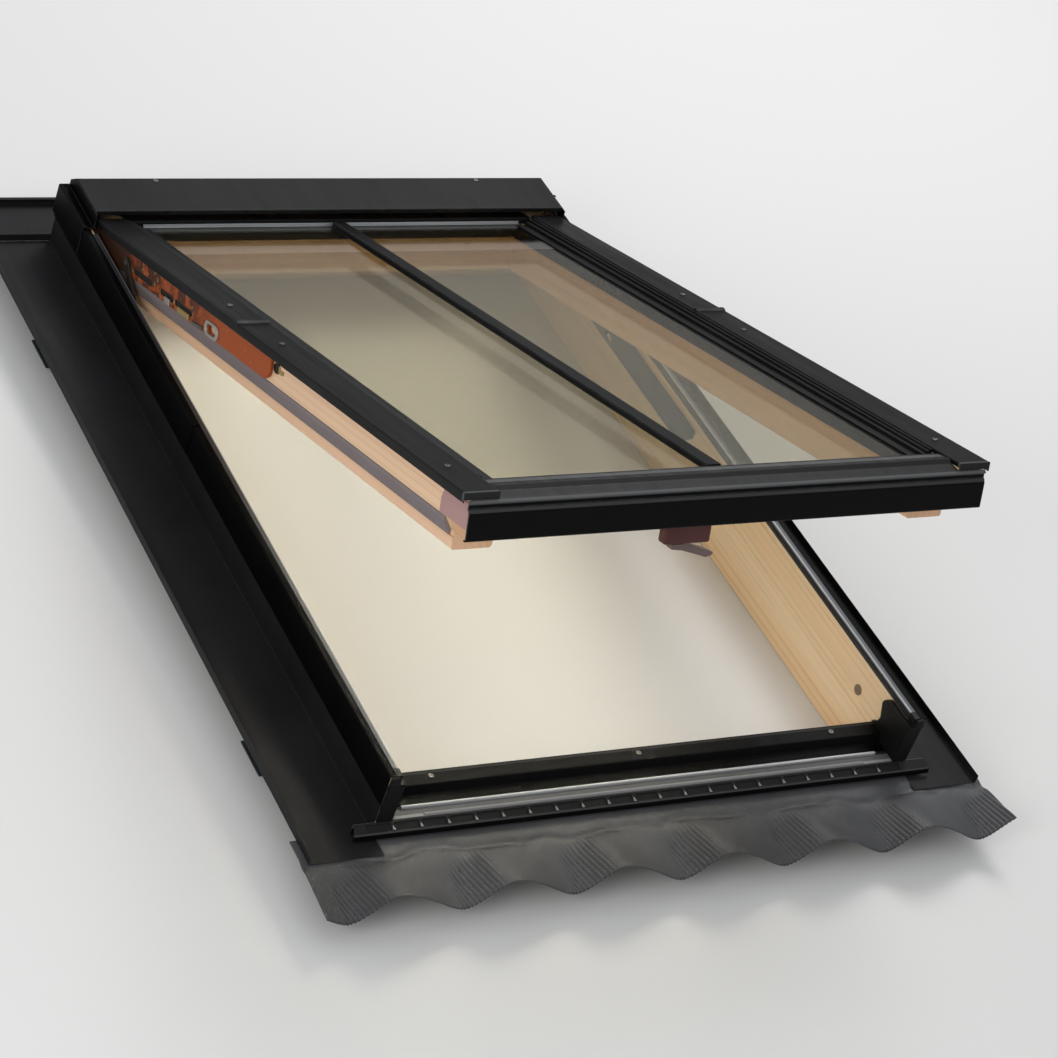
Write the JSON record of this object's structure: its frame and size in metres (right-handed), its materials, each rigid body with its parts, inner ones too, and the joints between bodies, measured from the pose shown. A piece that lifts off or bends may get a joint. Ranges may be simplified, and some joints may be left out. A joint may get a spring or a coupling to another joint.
{
  "type": "roof skylight",
  "caption": "Top-hung and centre-pivot roof window with pine frame, double glazing, metal covers and a flashing kit with a wavy apron.",
  "frame": {"origin": "middle of the pine sill's room-side face, 30 mm up the slope from the frame's lower end", "axes": "+X to the right across the window seen from outside, +Y up the roof slope, +Z out of the roof plane; the window lies with its room-side face on Z = 0"},
  "size_m": [1, 1.3921, 0.5047],
  "materials": {
    "pine": "clear lacquer",
    "cover_metal": "satin paint",
    "bright_metal": "mill finish",
    "flashing_sheet": "matt paint",
    "apron_sheet": "matt paint, pleated",
    "glazing": "clear",
    "black_plastic": "matt",
    "plug_plastic": "matt",
    "seal_rubber": "matt",
    "plate_steel": "satin",
    "arm_steel": "bronze coating",
    "stay_steel": "plated",
    "screw_steel": "plated",
    "lock_metal": "satin"
  },
  "bodies": {
    "frame": {"frame_stile_left": "pine", "frame_stile_right": "pine", "frame_head": "pine", "frame_sill": "pine", "frame_plugs": "plug_plastic", "rail_cover_lower_left": "cover_metal", "rail_cover_lower_right": "cover_metal", "rail_cover_upper_left": "cover_metal", "rail_cover_upper_right": "cover_metal", "rail_strip_left": "bright_metal", "rail_strip_right": "bright_metal", "sill_cover": "cover_metal", "drip_edge": "bright_metal", "corner_block_left": "black_plastic", "corner_block_right": "black_plastic", "hood": "cover_metal", "hood_cap_left": "cover_metal", "hood_cap_right": "cover_metal", "flashing_side_left": "flashing_sheet", "flashing_side_right": "flashing_sheet", "flashing_head": "flashing_sheet", "slotted_profile": "flashing_sheet", "apron": "apron_sheet", "hinge_plate_left": "plate_steel", "hinge_plate_right": "plate_steel", "hinge_pins": "stay_steel", "mounting_brackets": "plate_steel", "strike_plate": "plate_steel", "frame_screws": "screw_steel"},
    "arms": {"hinge_arm_left": "arm_steel", "hinge_arm_right": "arm_steel", "upper_cover_left": "cover_metal", "upper_cover_right": "cover_metal", "arm_fasteners": "stay_steel"},
    "strut_left": {"stay_strut_left": "stay_steel"},
    "strut_right": {"stay_strut_right": "stay_steel"},
    "shoe_left": {"stay_shoe_left": "stay_steel"},
    "shoe_right": {"stay_shoe_right": "stay_steel"},
    "sash": {"sash_stile_left": "pine", "sash_stile_right": "pine", "sash_top_rail": "pine", "sash_bottom_rail": "pine", "lower_cover_left": "cover_metal", "lower_cover_right": "cover_metal", "bottom_cover": "cover_metal", "top_cover": "cover_metal", "top_trim": "bright_metal", "glazing_bead_left": "black_plastic", "glazing_bead_right": "black_plastic", "pane_outer": "glazing", "pane_inner": "glazing", "spacer": "black_plastic", "glazing_bar": "cover_metal", "sash_seal_left": "seal_rubber", "sash_seal_right": "seal_rubber", "corner_plates": "stay_steel", "pivot_shoes": "stay_steel", "sash_screws": "screw_steel", "lock_case": "lock_metal"},
    "handle": {"lock_handle": "lock_metal"}
  },
  "joints": [
    {"name": "top_hinge", "type": "hinge", "parent": "frame", "child": "arms", "pos_m": [0, 1.072, 0.144], "axis": [-1, 0, 0], "range_deg": [-19.2, 15.8]},
    {"name": "centre_pivot", "type": "hinge", "parent": "arms", "child": "sash", "pos_m": [0, 0.61923, 0.30644], "axis": [-1, 0, 0], "range_deg": [0, 130]},
    {"name": "stay_turn_left", "type": "hinge", "parent": "arms", "child": "strut_left", "pos_m": [-0.3695, 0.95275, 0.15738], "axis": [-1, 0, 0], "range_deg": [-31.7, 38.5]},
    {"name": "shoe_turn_left", "type": "hinge", "parent": "strut_left", "child": "shoe_left", "pos_m": [-0.3695, 0.85326, 0.09027], "axis": [-1, 0, 0], "range_deg": [-19.3, 15.9]},
    {"name": "stay_turn_right", "type": "hinge", "parent": "arms", "child": "strut_right", "pos_m": [0.3695, 0.95275, 0.15738], "axis": [-1, 0, 0], "range_deg": [-31.7, 38.5]},
    {"name": "shoe_turn_right", "type": "hinge", "parent": "strut_right", "child": "shoe_right", "pos_m": [0.3695, 0.85326, 0.09027], "axis": [-1, 0, 0], "range_deg": [-19.3, 15.9]},
    {"name": "handle_turn", "type": "hinge", "parent": "sash", "child": "handle", "pos_m": [-0.034, 0.0753, 0.39102], "axis": [0, 0.3289, 0.9444], "range_deg": [0, 90]}
  ],
  "couplings": [
    {"joint": "stay_turn_left", "follows": "top_hinge", "ratio": -2},
    {"joint": "shoe_turn_left", "follows": "top_hinge", "ratio": 1},
    {"joint": "stay_turn_right", "follows": "top_hinge", "ratio": -2},
    {"joint": "shoe_turn_right", "follows": "top_hinge", "ratio": 1}
  ]
}
